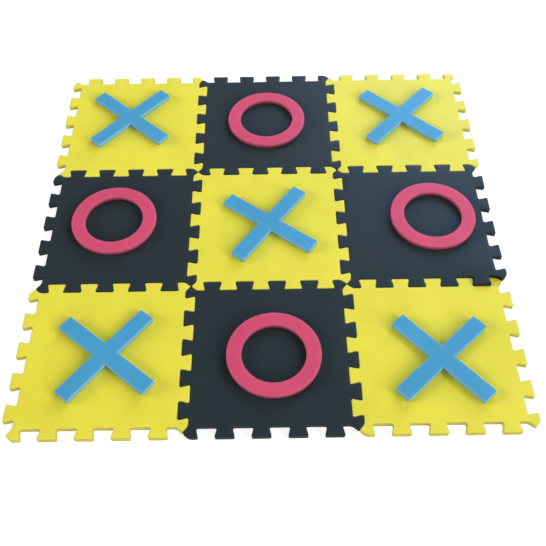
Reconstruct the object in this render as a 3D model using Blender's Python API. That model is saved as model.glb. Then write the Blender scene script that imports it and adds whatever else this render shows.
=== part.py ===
"""Foam tic-tac-toe toss game, lying ready to play.

Nine die-cut foam tiles lock together into a square board. A foam marker lies on
each tile: a cross on every yellow tile and a ring on every slate one. Each tile
and each marker is one solid piece of 10 mm foam. Metres, +Z up, +Y towards the
back row. The origin is the middle of the board's underside.
"""

import math

import bmesh
import bpy
from mathutils import Matrix, Vector

# Tiles
TILE_PITCH = 0.300
FOAM_THICKNESS = 0.010
TOOTH_WIDTH = 0.0312
TOOTH_DEPTH = 0.0195
TOOTH_FLANK_ANGLE = math.radians(14)
TOOTH_RADIUS = 0.003
LAST_STEP = 4  # the outermost flank is this many tooth widths from the side's middle
CORNER_RUN = 0.0111
CORNER_RADIUS = 0.013
TIP_RADIUS = 0.003

# Markers
CROSS_ARM_LENGTH = 0.2155
CROSS_ARM_WIDTH = 0.0315
CROSS_CORNER_RADIUS = 0.0015
RING_DIAMETER = 0.172
RING_WIDTH = 0.0275
RING_SEGMENTS = 64

# Clear space between pieces that touch
PIECE_GAP = 0.0003
ARC_SEGMENTS = 2

ROWS = ("front", "middle", "back")
COLUMNS = ("left", "middle", "right")

# How each marker landed: its shift from the middle of its tile, and its turn in degrees
LANDINGS = {
    "back_left": (-0.0097, 0.0155, 2.4),
    "back_middle": (-0.0010, 0.0035, 0),
    "back_right": (0.0044, 0.0100, 2.4),
    "middle_left": (-0.0147, 0.0133, 0),
    "centre": (0.0026, -0.0003, 8.3),
    "middle_right": (0.0368, 0.0128, 0),
    "front_left": (0.0043, -0.0007, 5.7),
    "front_middle": (0.0075, -0.0049, 0),
    "front_right": (0.0086, -0.0170, -2.7),
}

YELLOW = (0.84, 0.79, 0.07)
SLATE = (0.022, 0.036, 0.048)
BLUE = (0.055, 0.33, 0.67)
PINK = (0.68, 0.055, 0.14)


def clear_scene():
    for obj in list(bpy.data.objects):
        bpy.data.objects.remove(obj, do_unlink=True)


def foam_material(name, color):
    material = bpy.data.materials.new(name)
    material.use_nodes = True
    shader = material.node_tree.nodes["Principled BSDF"]
    shader.inputs["Base Color"].default_value = (*color, 1)
    shader.inputs["Roughness"].default_value = 0.75
    shader.inputs["Metallic"].default_value = 0
    return material


def side_corners():
    """The corners of a tile's front side, from left to right, each with its radius.

    A side is a row of dovetail teeth and sockets of equal width, each widest at its
    tip or floor. It starts on half a tooth and ends on half a socket, so that four
    equal sides close up, and any side locks into any other.
    """
    half = TILE_PITCH / 2
    reach = TOOTH_DEPTH / 2
    lean = reach * math.tan(TOOTH_FLANK_ANGLE)
    tip_y, floor_y = -half - reach, -half + reach
    corners = [
        ((-half, -half), TIP_RADIUS),
        ((-half + CORNER_RUN, tip_y), CORNER_RADIUS),
    ]
    for step in range(-LAST_STEP, LAST_STEP + 1):
        x = step * TOOTH_WIDTH
        enters_tooth = step % 2 == 1
        if enters_tooth:
            flank = [(x + lean, floor_y), (x - lean, tip_y)]
        else:
            flank = [(x + lean, tip_y), (x - lean, floor_y)]
        corners += [(point, TOOTH_RADIUS) for point in flank]
    corners.append(((half - CORNER_RUN, floor_y), CORNER_RADIUS))
    return corners


def tile_corners():
    """The side four times over, a quarter turn apart."""
    corners = []
    for quarter in range(4):
        turn = Matrix.Rotation(quarter * math.pi / 2, 2)
        corners += [(turn @ Vector(point), radius) for point, radius in side_corners()]
    return corners


def cross_corners():
    """Two equal arms at right angles, along the diagonals of the tile."""
    half_width = CROSS_ARM_WIDTH / 2
    half_length = CROSS_ARM_LENGTH / 2
    corners = []
    for quarter in range(4):
        turn = Matrix.Rotation(math.pi / 4 + quarter * math.pi / 2, 2)
        arm = [
            ((half_length, -half_width), CROSS_CORNER_RADIUS),
            ((half_length, half_width), CROSS_CORNER_RADIUS),
            ((half_width, half_width), 0),
        ]
        corners += [(turn @ Vector(point), radius) for point, radius in arm]
    return corners


def rounded_corner(before, corner, after, radius, inset):
    """The points of one corner once its edges have moved inwards and it is rounded.

    The outline runs anticlockwise, so its inside is on the left of each edge. Moving
    the edges keeps a round corner's centre: it shrinks where it points outwards and
    grows where it points inwards.
    """
    arriving = (corner - before).normalized()
    leaving = (after - corner).normalized()
    turn = arriving.angle_signed(leaving) * -1
    bisector = (leaving - arriving).normalized() * math.copysign(1, turn)
    moved = corner + bisector * inset / math.cos(turn / 2)
    if radius == 0:
        return [moved]
    radius -= math.copysign(inset, turn)
    centre = moved + bisector * math.copysign(radius, turn) / math.cos(turn / 2)
    start = moved - arriving * radius * abs(math.tan(turn / 2))
    return [
        centre + Matrix.Rotation(turn * step / ARC_SEGMENTS, 2) @ (start - centre)
        for step in range(ARC_SEGMENTS + 1)
    ]


def outline(corners, inset=0):
    """The closed outline through the corners, rounded and moved inwards."""
    points = []
    for index, (corner, radius) in enumerate(corners):
        before = corners[index - 1][0]
        after = corners[(index + 1) % len(corners)][0]
        points += rounded_corner(before, corner, after, radius, inset)
    return points


def sheet_mesh(name, points):
    """A flat outline cut through the whole thickness of the foam."""
    mesh = bpy.data.meshes.new(name)
    work = bmesh.new()
    face = work.faces.new([work.verts.new((*point, 0)) for point in points])
    lifted = bmesh.ops.extrude_face_region(work, geom=[face])["geom"]
    top = [item for item in lifted if isinstance(item, bmesh.types.BMVert)]
    bmesh.ops.translate(work, verts=top, vec=(0, 0, FOAM_THICKNESS))
    bmesh.ops.recalc_face_normals(work, faces=work.faces)
    work.to_mesh(mesh)
    work.free()
    return mesh


def ring_mesh(name):
    """A flat-sided ring: its square section spun round the marker's middle."""
    outer = RING_DIAMETER / 2
    inner = outer - RING_WIDTH
    section = [(inner, 0), (outer, 0), (outer, FOAM_THICKNESS), (inner, FOAM_THICKNESS)]
    mesh = bpy.data.meshes.new(name)
    work = bmesh.new()
    verts = [work.verts.new((x, 0, z)) for x, z in section]
    edges = [work.edges.new((verts[i - 1], verts[i])) for i in range(len(verts))]
    bmesh.ops.spin(
        work,
        geom=verts + edges,
        cent=(0, 0, 0),
        axis=(0, 0, 1),
        angle=2 * math.pi,
        steps=RING_SEGMENTS,
        use_merge=True,
    )
    bmesh.ops.recalc_face_normals(work, faces=work.faces)
    work.to_mesh(mesh)
    work.free()
    return mesh


def add_piece(name, mesh, material, location, turn=0, parent=None):
    """A piece with its origin in the middle of its underside, where it lifts from."""
    piece = bpy.data.objects.new(name, mesh.copy())
    piece.data.materials.append(material)
    piece.location = location
    piece.rotation_euler.z = turn
    piece.parent = parent
    piece.data.shade_smooth()
    piece.data.set_sharp_from_angle(angle=math.radians(30))
    bpy.context.scene.collection.objects.link(piece)
    return piece


def place_name(row, column):
    if ROWS[row] == COLUMNS[column] == "middle":
        return "centre"
    return f"{ROWS[row]}_{COLUMNS[column]}"


def build():
    clear_scene()
    tile = sheet_mesh("tile", outline(tile_corners(), PIECE_GAP / 2))
    cross = sheet_mesh("cross", outline(cross_corners()))
    ring = ring_mesh("ring")
    yellow = foam_material("foam_yellow", YELLOW)
    slate = foam_material("foam_slate", SLATE)
    blue = foam_material("foam_blue", BLUE)
    pink = foam_material("foam_pink", PINK)

    for row in range(len(ROWS)):
        for column in range(len(COLUMNS)):
            place = place_name(row, column)
            is_yellow = (row + column) % 2 == 0
            middle = ((column - 1) * TILE_PITCH, (row - 1) * TILE_PITCH, 0)
            board_tile = add_piece(
                f"tile_{place}", tile, yellow if is_yellow else slate, middle
            )
            shift_x, shift_y, degrees = LANDINGS[place]
            landed = (shift_x, shift_y, FOAM_THICKNESS + PIECE_GAP)
            kind, mesh, material = ("x", cross, blue) if is_yellow else ("o", ring, pink)
            add_piece(
                f"{kind}_{place}", mesh, material, landed, math.radians(degrees), board_tile
            )

    for spare in (tile, cross, ring):
        bpy.data.meshes.remove(spare)


build()
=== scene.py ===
"""The looks of a foam tic tac toe toss game: nine puzzle tiles, five crosses and four rings."""

import cmath
import math

import bmesh
import bpy
import numpy as np
from mathutils import Matrix, Vector, geometry, noise


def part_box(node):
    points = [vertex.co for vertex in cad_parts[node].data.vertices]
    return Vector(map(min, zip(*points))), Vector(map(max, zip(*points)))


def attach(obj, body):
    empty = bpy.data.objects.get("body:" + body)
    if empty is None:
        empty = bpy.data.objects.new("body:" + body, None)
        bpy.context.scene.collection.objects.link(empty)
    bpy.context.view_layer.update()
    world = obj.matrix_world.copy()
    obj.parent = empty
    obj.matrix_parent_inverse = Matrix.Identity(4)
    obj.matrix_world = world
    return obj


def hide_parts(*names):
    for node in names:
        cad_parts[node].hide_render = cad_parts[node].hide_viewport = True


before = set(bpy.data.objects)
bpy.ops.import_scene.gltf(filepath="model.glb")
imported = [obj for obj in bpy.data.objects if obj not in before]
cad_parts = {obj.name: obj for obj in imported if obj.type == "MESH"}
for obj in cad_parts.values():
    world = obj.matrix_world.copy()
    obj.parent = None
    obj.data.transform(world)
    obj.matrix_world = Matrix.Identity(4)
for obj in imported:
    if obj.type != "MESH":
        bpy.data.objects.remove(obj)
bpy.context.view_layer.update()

QUARTER_TURN = math.radians(90)

# The board, as the frame has it
ROWS = ("front", "middle", "back")
COLUMNS = ("left", "middle", "right")
TILE_LOW, TILE_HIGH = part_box("tile_centre")
THICKNESS = TILE_HIGH.z - TILE_LOW.z
PITCH = sum(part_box("tile_middle_right"), Vector()).x / 2
PIECE_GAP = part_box("x_centre")[0].z - TILE_HIGH.z

# A tile's toothed outline, whose last flank is LAST_STEP tooth widths from a side's middle
TOOTH_WIDTH = 0.0312
TOOTH_DEPTH = TILE_HIGH.x - TILE_LOW.x - PITCH + PIECE_GAP
TOOTH_FLANK_ANGLE = math.radians(14)
TOOTH_RADIUS = 0.003
LAST_STEP = 4
CORNER_RUN = 0.0111
CORNER_RADIUS = 0.013
TIP_RADIUS = 0.003

# A cross's outline
ARM_LENGTH = 0.2155
ARM_WIDTH = 0.0315
ARM_END_RADIUS = 0.0018
ARM_INNER_RADIUS = 0.0012

# Rounded corners and rings
LEAST_RADIUS = 0.0001
ARC_STEPS = 6
RING_STEPS = 160

# A die-cut wall: rounded at the top and the bottom, and drawn in by a slight waist in between,
# which is shaped at some shares of the thickness
TOP_ROUND = 0.0011
BOTTOM_ROUND = 0.0016
ROUND_STEPS = 4
WAIST = 0.00025
WAIST_LEVELS = (0.3, 0.5, 0.7)

# The skin of the foam is not quite flat: it has broad dips, and finer ones that are read from
# another level of the same noise
BROAD_WAVE_LENGTH = 0.055
FINE_WAVE_LENGTH = BROAD_WAVE_LENGTH / 3
FINE_WAVE_LEVEL = 0.4
BROAD_WAVE_SHARE = 0.7
FINE_WAVE_SHARE = 0.3
WAVE_DEPTH = 0.0003

# The spacing of the points that carry the dips
TILE_GRID = 0.0075
MARKER_GRID = 0.0055

# What the triangulation merges, and its mode that keeps only what lies inside the edges
MERGE_DISTANCE = 1e-7
INSIDE_EDGES = 1

# One corner of the right-hand tile curls up off the floor
CURLED_TILE = "tile_middle_right"
CURL_HEIGHT = 0.008
CURL_REACH = 0.124

# Each foam: the linear colours of its skin and of its cut faces, how pale scuffing and a painted
# edge highlight make it, and how much of its light a cut face keeps down at its foot, as painted
# shade. The yellow and pink cut faces are darker than their skins, as painted shade on the walls,
# the slate's are darker too, and the blue's paler, greener cut is partly its open cells and partly
# painted light
FOAMS = {
    "foam_yellow": ((0.905, 0.79, 0.058), (0.5, 0.445, 0.045), 0.1, 0.75),
    "foam_slate": ((0.0195, 0.03, 0.032), (0.008, 0.011, 0.012), 0.02, 0.8),
    "foam_blue": ((0.07, 0.357, 0.597), (0.155, 0.4, 0.54), 0.2, 0.85),
    "foam_pink": ((0.72, 0.077, 0.162), (0.48, 0.075, 0.14), 0.12, 0.2),
}

# How foam takes the light
FOAM_IOR = 1.4
FOAM_SPECULAR = 0.45
FOAM_SHEEN = 0.06
SHEEN_ROUGHNESS = 0.5
SKIN_ROUGHNESS = (0.4, 0.5)
WALL_ROUGHNESS = 0.85
WORN_ROUGHNESS = 0.4

# The noises that mark it, as (scale, detail, roughness), and the span of each that counts
MOTTLE_NOISE = (9, 4, 0.6)
MOTTLE_SPAN = (0.35, 0.65)
GLOSS_SPAN = (0.3, 0.7)
GRAIN_NOISE = (900, 2, 0.6)
GRAIN_SPAN = (0.45, 0.75)
SCUFF_AND_HIGHLIGHT_NOISE = (160, 3, 0.7)
SCUFF_AND_HIGHLIGHT_SPAN = (0.3, 0.75)

# What those marks do to its colour
MOTTLE_SHADES = (0.95, 1.04)
GRAIN_SHADE = 0.86
GRAIN_STRENGTH = 0.5
# Scuffing and a painted edge highlight turn the rounded edges paler, towards a light grey
SCUFF_AND_HIGHLIGHT_STRENGTHS = (0.1, 0.5)
SCUFF_AND_HIGHLIGHT_GREY = 0.75

# How far down a cut face its colour changes to the painted shade of its foot, as shares of the
# thickness
FOOT_SPAN = (0.3, 0.85)

# Its cells, which are finer and deeper where it is cut: (scale, strength of the bump)
SKIN_CELLS = (1000, 0.35)
CUT_CELLS = (1400, 0.6)
CELL_DEPTH = 0.0002

# The camera stands in front of the board, where the photographer stood
CAMERA_PLACE = (0.0075, -0.9588, 1.1832)
CAMERA_YAW = math.radians(0.05)
CAMERA_PITCH = math.radians(54.49)
CAMERA_ROLL = math.radians(-0.88)
LENS_MM = 48.8
SENSOR_MM = 36

# Big soft lights far away, low all round, so they give light but no gleam:
# (name, azimuth and elevation in degrees, strength)
FAR_LIGHTS = (
    ("front", -90, 18, 0.92),
    ("front_right", -30, 18, 1.84),
    ("right", 0, 35, 0.86),
    ("back_right", 60, 18, 1.15),
    ("left", 180, 18, 1.99),
)
FAR_LIGHT_WIDTH = 0.4
SKY_STRENGTH = 0.14

# Cool soft boxes that gleam towards the right: (name, place, side in metres, watts, colour)
SOFT_BOXES = (
    ("back_box", (0.95, 2.5, 1.45), 1.2, 22, (0.45, 0.64, 1.2)),
    ("side_box", (1.3, 1.3, 1.2), 0.9, 6, (0.1, 0.5, 0.8)),
)
SOFT_BOX_AIM = (0.3, 0.3, 0)

# One more that only gleams, along the edges that face right
RIM_BOX = ("rim_box", (1.7, -0.1, 1.0), 0.6, 20, (0.65, 0.85, 1.2))

# A plain white floor just under the board, with light of its own, and a white dome round it all
FLOOR_HALF = 6
FLOOR_DROP = 0.0002
FLOOR_GREY = 0.45
FLOOR_GLOW = 0.8
DOME_RADIUS = 9
DOME_SUBDIVISIONS = 3
DOME_GREY = 0
DOME_GLOW = 1
STAGE_ROUGHNESS = 0.9


def place_name(row, column):
    if ROWS[row] == COLUMNS[column] == "middle":
        return "centre"
    return f"{ROWS[row]}_{COLUMNS[column]}"


# ---------------------------------------------------------------- outlines


def turned(point, angle):
    return Matrix.Rotation(angle, 2) @ Vector(point)


def four_times(side, first_turn=0):
    """A side's (point, radius) pairs four times over, a quarter turn apart."""
    turns = [first_turn + QUARTER_TURN * quarter for quarter in range(4)]
    return [(turned(point, turn), radius) for turn in turns for point, radius in side]


def tile_corners():
    """The corners of a tile about its own middle, each with its radius."""
    half = PITCH / 2
    reach = TOOTH_DEPTH / 2
    lean = reach * math.tan(TOOTH_FLANK_ANGLE)
    tip_y, floor_y = -half - reach, -half + reach
    side = [((-half, -half), TIP_RADIUS), ((-half + CORNER_RUN, tip_y), CORNER_RADIUS)]
    for step in range(-LAST_STEP, LAST_STEP + 1):
        x = step * TOOTH_WIDTH
        first_y, last_y = (floor_y, tip_y) if step % 2 else (tip_y, floor_y)
        side += [((x + lean, first_y), TOOTH_RADIUS), ((x - lean, last_y), TOOTH_RADIUS)]
    side.append(((half - CORNER_RUN, floor_y), CORNER_RADIUS))
    return four_times(side)


def cross_corners(turn):
    """The same for a cross that has one arm at the angle turn."""
    half_length, half_width = ARM_LENGTH / 2, ARM_WIDTH / 2
    arm = [
        ((half_length, -half_width), ARM_END_RADIUS),
        ((half_length, half_width), ARM_END_RADIUS),
        ((half_width, half_width), ARM_INNER_RADIUS),
    ]
    return four_times(arm, turn)


def rounded_corner(before, corner, after, radius, inset):
    """The arc that rounds one corner of an outline, moved inwards by inset."""
    arriving = (corner - before).normalized()
    leaving = (after - corner).normalized()
    turn = -arriving.angle_signed(leaving)
    bisector = (leaving - arriving).normalized() * math.copysign(1, turn)
    moved = corner + bisector * inset / math.cos(turn / 2)
    radius = max(radius - math.copysign(inset, turn), LEAST_RADIUS)
    centre = moved + bisector * math.copysign(radius, turn) / math.cos(turn / 2)
    start = moved - arriving * radius * abs(math.tan(turn / 2))
    steps = [turn * step / ARC_STEPS for step in range(ARC_STEPS + 1)]
    return [centre + turned(start - centre, angle) for angle in steps]


def outline(corners, inset):
    """An outline's points, anticlockwise, with its corners rounded."""
    points = []
    for index, (corner, radius) in enumerate(corners):
        before = corners[index - 1][0]
        after = corners[(index + 1) % len(corners)][0]
        points += rounded_corner(before, corner, after, radius, inset)
    return points


def circle(radius):
    angles = [2 * math.pi * step / RING_STEPS for step in range(RING_STEPS)]
    return [Vector((radius * math.cos(angle), radius * math.sin(angle))) for angle in angles]


# ---------------------------------------------------------------- foam solids


def wall_profile():
    """(height, inset, share of rubbed edge and painted highlight) up a die-cut wall: a round, a
    slight waist and a tighter round.
    """
    profile = []
    for step in range(ROUND_STEPS + 1):
        angle = QUARTER_TURN * step / ROUND_STEPS
        share = 1 - math.sin(angle)
        profile.append((BOTTOM_ROUND * (1 - math.cos(angle)), BOTTOM_ROUND * share, share))
    for share in WAIST_LEVELS:
        profile.append((THICKNESS * share, WAIST * math.sin(math.pi * share), 0))
    for step in range(ROUND_STEPS + 1):
        angle = QUARTER_TURN * step / ROUND_STEPS
        inset = TOP_ROUND * (1 - math.cos(angle))
        profile.append((THICKNESS - TOP_ROUND * (1 - math.sin(angle)), inset, 1))
    return profile


def inside(points, loop):
    """Which of the points lie inside a closed loop, by the even-odd rule."""
    ax, ay = loop[:, 0], loop[:, 1]
    bx, by = np.roll(ax, -1), np.roll(ay, -1)
    px, py = points[:, :1], points[:, 1:]
    spans = (ay > py) != (by > py)
    rise = np.where(by == ay, 1, by - ay)
    crossings = ax + (py - ay) * (bx - ax) / rise
    return (spans & (px < crossings)).sum(1) % 2 == 1


def within(points, rims):
    """Which of the points lie inside the first loop and outside the others."""
    kept = inside(points, rims[0])
    for rim in rims[1:]:
        kept &= ~inside(points, rim)
    return kept


def clearance(points, loop):
    """How far each point is from a loop."""
    steps = np.roll(loop, -1, 0) - loop
    squares = np.maximum((steps ** 2).sum(1), np.finfo(float).tiny)
    offsets = points[:, None] - loop
    shares = np.clip((offsets * steps).sum(2) / squares, 0, 1)
    return np.sqrt(((offsets - shares[..., None] * steps) ** 2).sum(2)).min(1)


def cap(loops, spacing):
    """The inner points and the triangles that fill the first loop, but not the others.

    A triangle counts the loops' own points first and then the inner ones."""
    rims = [np.array([tuple(point) for point in loop]) for loop in loops]
    reach = np.abs(rims[0]).max()
    steps = np.arange(-reach, reach + spacing, spacing)
    grid = np.array([(x + spacing / 2 * (row % 2), y) for row, y in enumerate(steps) for x in steps])
    grid = grid[within(grid, rims)]
    for rim in rims:
        grid = grid[clearance(grid, rim) > spacing / 2]
    points = np.concatenate(rims + [grid])
    edges = []
    first = 0
    for rim in rims:
        count = len(rim)
        edges += [(first + index, first + (index + 1) % count) for index in range(count)]
        first += count
    vectors = [Vector(point) for point in points.tolist()]
    found, _, triangles, origins, _, _ = geometry.delaunay_2d_cdt(
        vectors, edges, [], INSIDE_EDGES, MERGE_DISTANCE
    )
    if len(found) != len(vectors):
        raise ValueError("the fill of a foam outline added or lost points")
    source = [origin[0] for origin in origins]
    faces = [tuple(source[corner] for corner in triangle) for triangle in triangles]
    kept = within(points[np.array(faces)].mean(1), rims)
    return grid, [face for face, is_kept in zip(faces, kept) if is_kept]


def foam_solid(rim_of, holes_of, spacing):
    """Points, faces, wall flags and rubbed-edge shares, which also carry a painted highlight, of a
    foam sheet about its own middle, from z = 0 up.

    rim_of(inset) gives its outer loop and holes_of(inset) the loops of its holes, all
    anticlockwise."""
    points, faces, walls, edge_wear_and_highlight = [], [], [], []
    levels = []
    for height, inset, worn_and_highlit in wall_profile():
        loops = [rim_of(inset)] + holes_of(inset)
        levels.append((height, loops, len(points)))
        for loop in loops:
            points += [(point.x, point.y, height) for point in loop]
            edge_wear_and_highlight += [worn_and_highlit] * len(loop)
    for (_, loops, low), (_, _, high) in zip(levels, levels[1:]):
        for loop in loops:
            for index in range(len(loop)):
                following = (index + 1) % len(loop)
                face = (low + index, low + following, high + following, high + index)
                faces.append(face if loop is loops[0] else face[::-1])
                walls.append(1)
            low += len(loop)
            high += len(loop)
    for (height, loops, first_rim), upward in ((levels[0], False), (levels[-1], True)):
        grid, triangles = cap(loops, spacing)
        rim_count = sum(len(loop) for loop in loops)
        first_inner = len(points) - rim_count
        points += [(x, y, height) for x, y in grid.tolist()]
        edge_wear_and_highlight += [0] * len(grid)
        for triangle in triangles:
            face = [n + (first_rim if n < rim_count else first_inner) for n in triangle]
            a, b, c = (np.array(points[number]) for number in face)
            counter = np.cross(b - a, c - a)[2] > 0
            faces.append(tuple(face if counter == upward else face[::-1]))
            walls.append(0)
    return np.array(points), faces, walls, edge_wear_and_highlight


def wave(point):
    """How far the skin dips at a place, from 0 to 1."""
    broad = noise.noise(Vector((point[0], point[1], 0)) / BROAD_WAVE_LENGTH)
    fine = noise.noise(Vector((point[0], point[1], FINE_WAVE_LEVEL)) / FINE_WAVE_LENGTH)
    return min(max(0.5 + BROAD_WAVE_SHARE * broad + FINE_WAVE_SHARE * fine, 0), 1)


def foam_piece(node, solid, slot, materials):
    """A foam sheet in its CAD node's place, with its skin rippled.

    Its points keep their share of rubbed edge and painted highlight, and how deep they lie, as a
    share of the thickness."""
    low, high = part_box(node)
    middle = (low + high) / 2
    points, faces, walls, edge_wear_and_highlight = solid
    points = points + np.array((middle.x, middle.y, low.z))
    dips = np.array([wave(point) for point in points])
    points[:, 2] -= WAVE_DEPTH * dips * (points[:, 2] - low.z) / THICKNESS
    depth = (high.z - points[:, 2]) / THICKNESS
    name = "foam_" + node
    mesh = bpy.data.meshes.new(name)
    mesh.from_pydata(points.tolist(), [], faces)
    for material in materials[slot]:
        mesh.materials.append(material)
    mesh.polygons.foreach_set("material_index", walls)
    for attribute, values in (("edge_wear_and_highlight", edge_wear_and_highlight), ("depth", depth)):
        layer = mesh.attributes.new(attribute, "FLOAT", "POINT")
        layer.data.foreach_set("value", np.array(values, np.float32))
    mesh.shade_smooth()
    mesh.update()
    piece = bpy.data.objects.new(name, mesh)
    bpy.context.scene.collection.objects.link(piece)
    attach(piece, node)
    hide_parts(node)
    return piece


def curl_corner(piece, node):
    """Lifts the front right corner of a tile off the floor in a smooth curve."""
    low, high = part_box(node)
    corner = Vector((high.x, low.y))
    for vertex in piece.data.vertices:
        share = max(0, 1 - (vertex.co.xy - corner).length / CURL_REACH)
        vertex.co.z += CURL_HEIGHT * share * share * (3 - 2 * share)
    piece.data.update()


# ---------------------------------------------------------------- materials


def noise_field(tree, place, grades):
    node = tree.nodes.new("ShaderNodeTexNoise")
    for name, number in zip(("Scale", "Detail", "Roughness"), grades):
        node.inputs[name].default_value = number
    tree.links.new(place, node.inputs["Vector"])
    return node.outputs["Fac"]


def attribute_field(tree, name):
    node = tree.nodes.new("ShaderNodeAttribute")
    node.attribute_name = name
    return node.outputs["Fac"]


def remap(tree, value, span, to_span):
    """A value carried from one span of numbers to another, and held at its ends."""
    node = tree.nodes.new("ShaderNodeMapRange")
    tree.links.new(value, node.inputs["Value"])
    for name, number in zip(("From Min", "From Max", "To Min", "To Max"), (*span, *to_span)):
        node.inputs[name].default_value = number
    return node.outputs["Result"]


def product(tree, first, second):
    node = tree.nodes.new("ShaderNodeMath")
    node.operation = "MULTIPLY"
    tree.links.new(first, node.inputs[0])
    tree.links.new(second, node.inputs[1])
    return node.outputs["Value"]


def mix_colours(tree, share, first, second):
    """The first colour, with the second mixed in by a share; a colour is a value or a socket."""
    node = tree.nodes.new("ShaderNodeMix")
    node.data_type = "RGBA"
    sockets = {socket.identifier: socket for socket in node.inputs}
    tree.links.new(share, sockets["Factor_Float"])
    for name, colour in (("A_Color", first), ("B_Color", second)):
        if isinstance(colour, bpy.types.NodeSocket):
            tree.links.new(colour, sockets[name])
        else:
            sockets[name].default_value = colour
    return next(socket for socket in node.outputs if socket.identifier == "Result_Color")


def shade_of(colour, factor):
    return (*(min(channel * factor, 1) for channel in colour), 1)


def pale(colour, share):
    """The colour faded towards a light grey, as scuffed foam is, and as a painted highlight on an
    edge.
    """
    return (*(channel + (SCUFF_AND_HIGHLIGHT_GREY - channel) * share for channel in colour), 1)


def foam_colour(tree, place, mottle, colour, scuff_and_highlight, painted_foot_shade):
    """Mottled and grained, with painted shade towards the foot of a cut face, and paler at the
    rubbed edges, from scuffing and a painted highlight.
    """
    dark, light = (shade_of(colour, shade) for shade in MOTTLE_SHADES)
    mottle_share = remap(tree, mottle, MOTTLE_SPAN, (0, 1))
    surface = mix_colours(tree, mottle_share, dark, light)
    grain = noise_field(tree, place, GRAIN_NOISE)
    grain_share = remap(tree, grain, GRAIN_SPAN, (0, GRAIN_STRENGTH))
    surface = mix_colours(tree, grain_share, surface, shade_of(colour, GRAIN_SHADE))
    # Painted shade: a cut face's colour darkens towards its foot
    if painted_foot_shade is not None:
        foot_share = remap(tree, attribute_field(tree, "depth"), FOOT_SPAN, (0, 1))
        surface = mix_colours(tree, foot_share, surface, shade_of(colour, painted_foot_shade))
    # Scuffing and a painted highlight make the rounded edges paler
    scuff_and_highlight_noise = noise_field(tree, place, SCUFF_AND_HIGHLIGHT_NOISE)
    scuff_and_highlight_share = remap(tree, scuff_and_highlight_noise, SCUFF_AND_HIGHLIGHT_SPAN, SCUFF_AND_HIGHLIGHT_STRENGTHS)
    scuff_and_highlight_fade = product(tree, attribute_field(tree, "edge_wear_and_highlight"), scuff_and_highlight_share)
    return mix_colours(tree, scuff_and_highlight_fade, surface, pale(colour, scuff_and_highlight))


def foam_normal(tree, place, scale, strength):
    """The bumps of the foam's cells."""
    cells = tree.nodes.new("ShaderNodeTexVoronoi")
    cells.inputs["Scale"].default_value = scale
    tree.links.new(place, cells.inputs["Vector"])
    bump = tree.nodes.new("ShaderNodeBump")
    bump.inputs["Strength"].default_value = strength
    bump.inputs["Distance"].default_value = CELL_DEPTH
    tree.links.new(cells.outputs["Distance"], bump.inputs["Height"])
    return bump.outputs["Normal"]


def foam_material(name, colour, scuff_and_highlight, painted_foot_shade=None):
    """Closed-cell EVA foam: its pebbled skin or, given how dark to paint the shade at a cut face's
    foot, the faces that the die cut.
    """
    cut = painted_foot_shade is not None
    material = bpy.data.materials.new(name)
    material.use_nodes = True
    tree = material.node_tree
    shader = tree.nodes["Principled BSDF"]
    shader.inputs["IOR"].default_value = FOAM_IOR
    shader.inputs["Specular IOR Level"].default_value = FOAM_SPECULAR
    shader.inputs["Sheen Weight"].default_value = FOAM_SHEEN
    shader.inputs["Sheen Roughness"].default_value = SHEEN_ROUGHNESS
    place = tree.nodes.new("ShaderNodeTexCoord").outputs["Object"]
    mottle = noise_field(tree, place, MOTTLE_NOISE)
    if cut:
        worn_and_highlit = attribute_field(tree, "edge_wear_and_highlight")
        roughness = remap(tree, worn_and_highlit, (0, 1), (WALL_ROUGHNESS, WORN_ROUGHNESS))
    else:
        roughness = remap(tree, mottle, GLOSS_SPAN, SKIN_ROUGHNESS)
    tree.links.new(roughness, shader.inputs["Roughness"])
    base = foam_colour(tree, place, mottle, colour, scuff_and_highlight, painted_foot_shade)
    tree.links.new(base, shader.inputs["Base Color"])
    normal = foam_normal(tree, place, *(CUT_CELLS if cut else SKIN_CELLS))
    tree.links.new(normal, shader.inputs["Normal"])
    return material


def foam_materials():
    """For each slot, the material of its skin and that of its cut faces."""
    return {
        slot: (
            foam_material(slot + "_skin", skin, scuff_and_highlight),
            # The cut faces' colours carry painted shade, partly painted light in the blue, and
            # painted shade at the foot
            foam_material(slot + "_cut", cut, scuff_and_highlight, painted_foot_shade),
        )
        for slot, (skin, cut, scuff_and_highlight, painted_foot_shade) in FOAMS.items()
    }


# ---------------------------------------------------------------- the game


def cad_points(node):
    """The points of a node's CAD solid, seen from above and about its own middle."""
    middle = sum(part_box(node), Vector()) / 2
    return [vertex.co.xy - middle.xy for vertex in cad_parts[node].data.vertices]


def build_tiles(materials):
    corners = tile_corners()
    solid = foam_solid(
        lambda inset: outline(corners, inset + PIECE_GAP / 2),
        lambda inset: [],
        TILE_GRID,
    )
    for row in range(len(ROWS)):
        for column in range(len(COLUMNS)):
            slot = "foam_slate" if (row + column) % 2 else "foam_yellow"
            node = "tile_" + place_name(row, column)
            piece = foam_piece(node, solid, slot, materials)
            if node == CURLED_TILE:
                curl_corner(piece, node)


def arm_turn(node):
    """The angle of a cross's arms, from the fourth harmonic of its corners about its middle."""
    corners = [complex(*point) for point in cad_points(node)]
    return cmath.phase(sum(corner ** 4 for corner in corners)) / 4


def build_cross(node, materials):
    corners = cross_corners(arm_turn(node))
    solid = foam_solid(lambda inset: outline(corners, inset), lambda inset: [], MARKER_GRID)
    foam_piece(node, solid, "foam_blue", materials)


def build_ring(node, materials):
    low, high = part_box(node)
    outer = (high.x - low.x) / 2
    inner = min(point.length for point in cad_points(node))
    solid = foam_solid(
        lambda inset: circle(outer - inset),
        lambda inset: [circle(inner + inset)],
        MARKER_GRID,
    )
    foam_piece(node, solid, "foam_pink", materials)


def build_markers(materials):
    for row in range(len(ROWS)):
        for column in range(len(COLUMNS)):
            place = place_name(row, column)
            if (row + column) % 2:
                build_ring("o_" + place, materials)
            else:
                build_cross("x_" + place, materials)


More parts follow.
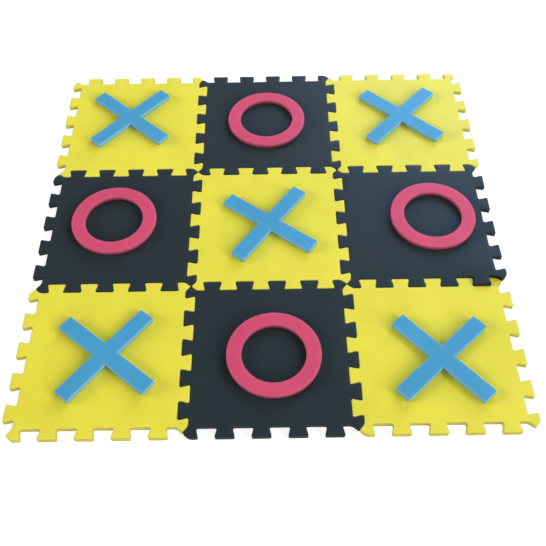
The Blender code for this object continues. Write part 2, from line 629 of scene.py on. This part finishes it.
# ---------------------------------------------------------------- studio


def add_camera():
    yaw, pitch, roll = CAMERA_YAW, CAMERA_PITCH, CAMERA_ROLL
    ahead = Vector((math.sin(yaw), math.cos(yaw), 0))
    forward = math.cos(pitch) * ahead - math.sin(pitch) * Vector((0, 0, 1))
    level = Vector((math.cos(yaw), -math.sin(yaw), 0))
    rise = level.cross(forward)
    right = math.cos(roll) * level + math.sin(roll) * rise
    up = math.cos(roll) * rise - math.sin(roll) * level
    data = bpy.data.cameras.new("camera")
    data.sensor_width = SENSOR_MM
    data.lens = LENS_MM
    camera = bpy.data.objects.new("camera", data)
    turn = Matrix((right, up, -forward)).transposed().to_4x4()
    camera.matrix_world = Matrix.Translation(CAMERA_PLACE) @ turn
    bpy.context.scene.collection.objects.link(camera)
    bpy.context.scene.camera = camera


def add_light(data, place, aim):
    light = bpy.data.objects.new(data.name, data)
    light.location = place
    light.rotation_euler = (Vector(aim) - Vector(place)).to_track_quat("-Z", "Y").to_euler()
    bpy.context.scene.collection.objects.link(light)
    return light


def add_far_light(name, azimuth, elevation, strength):
    data = bpy.data.lights.new(name, "SUN")
    data.angle = FAR_LIGHT_WIDTH
    data.energy = strength
    turn, rise = math.radians(azimuth), math.radians(elevation)
    level = math.cos(rise)
    place = (level * math.cos(turn), level * math.sin(turn), math.sin(rise))
    add_light(data, place, (0, 0, 0)).visible_glossy = False


def add_soft_box(name, place, side, watts, colour):
    data = bpy.data.lights.new(name, "AREA")
    data.shape = "SQUARE"
    data.size = side
    data.energy = watts
    data.color = colour
    return add_light(data, place, SOFT_BOX_AIM)


def add_studio():
    world = bpy.data.worlds.new("studio")
    world.use_nodes = True
    background = world.node_tree.nodes["Background"]
    background.inputs["Color"].default_value = (1, 1, 1, 1)
    background.inputs["Strength"].default_value = SKY_STRENGTH
    bpy.context.scene.world = world
    for far_light in FAR_LIGHTS:
        add_far_light(*far_light)
    for soft_box in SOFT_BOXES:
        add_soft_box(*soft_box)
    add_soft_box(*RIM_BOX).visible_diffuse = False
    bpy.context.scene.view_settings.view_transform = "Standard"


def glowing_material(name, grey, glow):
    """A plain grey with white light of its own."""
    material = bpy.data.materials.new(name)
    material.use_nodes = True
    shader = material.node_tree.nodes["Principled BSDF"]
    shader.inputs["Base Color"].default_value = (grey, grey, grey, 1)
    shader.inputs["Roughness"].default_value = STAGE_ROUGHNESS
    shader.inputs["Emission Color"].default_value = (1, 1, 1, 1)
    shader.inputs["Emission Strength"].default_value = glow
    return material


def add_stage_piece(mesh, material):
    mesh.materials.append(material)
    piece = bpy.data.objects.new(mesh.name, mesh)
    bpy.context.scene.collection.objects.link(piece)
    return piece


def add_floor():
    mesh = bpy.data.meshes.new("floor")
    corners = [(x * FLOOR_HALF, y * FLOOR_HALF) for x, y in ((-1, -1), (1, -1), (1, 1), (-1, 1))]
    mesh.from_pydata([(x, y, -FLOOR_DROP) for x, y in corners], [], [(0, 1, 2, 3)])
    add_stage_piece(mesh, glowing_material("floor", FLOOR_GREY, FLOOR_GLOW))


def add_backdrop():
    """A white dome that only the camera sees: it gives no light and no shade."""
    mesh = bpy.data.meshes.new("backdrop")
    work = bmesh.new()
    bmesh.ops.create_icosphere(work, subdivisions=DOME_SUBDIVISIONS, radius=DOME_RADIUS)
    work.to_mesh(mesh)
    work.free()
    dome = add_stage_piece(mesh, glowing_material("backdrop", DOME_GREY, DOME_GLOW))
    dome.visible_diffuse = False
    dome.visible_glossy = False
    dome.visible_shadow = False


add_camera()
add_studio()
add_floor()
add_backdrop()
FOAM_MATERIALS = foam_materials()
build_tiles(FOAM_MATERIALS)
build_markers(FOAM_MATERIALS)
